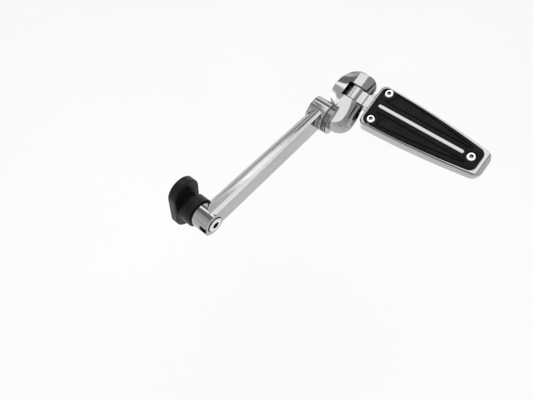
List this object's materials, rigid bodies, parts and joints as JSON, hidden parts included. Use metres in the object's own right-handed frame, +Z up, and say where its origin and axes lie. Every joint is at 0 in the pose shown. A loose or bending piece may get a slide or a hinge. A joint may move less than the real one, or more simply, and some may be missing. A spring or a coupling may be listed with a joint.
{
  "type": "motorcycle highway peg",
  "caption": "Adjustable highway foot peg: a faceted arm swings on a two-bolt hub and carries a turning fork with a fold-up peg and rubber pad.",
  "frame": {"origin": "centre of the hub's inboard mounting face, on the axis of the lower pivot", "axes": "+X outboard along the lower pivot, +Y forward along the motorcycle, +Z up"},
  "size_m": [0.1794, 0.2137, 0.0739],
  "materials": {
    "chrome": "polished",
    "black_hub": "satin",
    "rubber": "fine grain",
    "screw_steel": "polished",
    "bare_steel": "turned",
    "dark_washer": "smooth"
  },
  "bodies": {
    "mount": {"mount_hub": "black_hub", "pivot_thrust_washer": "dark_washer", "pivot_washer": "bare_steel", "pivot_screw": "screw_steel"},
    "arm": {"arm": "chrome"},
    "clevis": {"clevis": "chrome", "spline_stub": "bare_steel", "seam_washer": "dark_washer", "swivel_washer": "bare_steel", "swivel_screw": "screw_steel", "fold_pin": "screw_steel", "upper_spring_washer": "bare_steel", "lower_spring_washer": "bare_steel", "detent_ball": "bare_steel", "detent_spring": "bare_steel"},
    "peg": {"peg_body": "chrome", "rubber_pad": "rubber", "chrome_strip": "chrome", "pad_screw_front": "screw_steel", "pad_screw_rear": "screw_steel", "pad_screw_tip": "screw_steel"}
  },
  "joints": [
    {"name": "arm_pivot", "type": "hinge", "parent": "mount", "child": "arm", "pos_m": [0.03, 0, 0], "axis": [1, 0, 0], "range_deg": [-60, 60]},
    {"name": "clevis_pivot", "type": "hinge", "parent": "arm", "child": "clevis", "pos_m": [0.03, 0.15064, 0.0161], "axis": [1, 0, 0], "range_deg": [-90, 50]},
    {"name": "peg_fold", "type": "hinge", "parent": "clevis", "child": "peg", "pos_m": [0.0481, 0.17795, 0.03056], "axis": [0, -0.8838, -0.4679], "range_deg": [0, 88]}
  ]
}
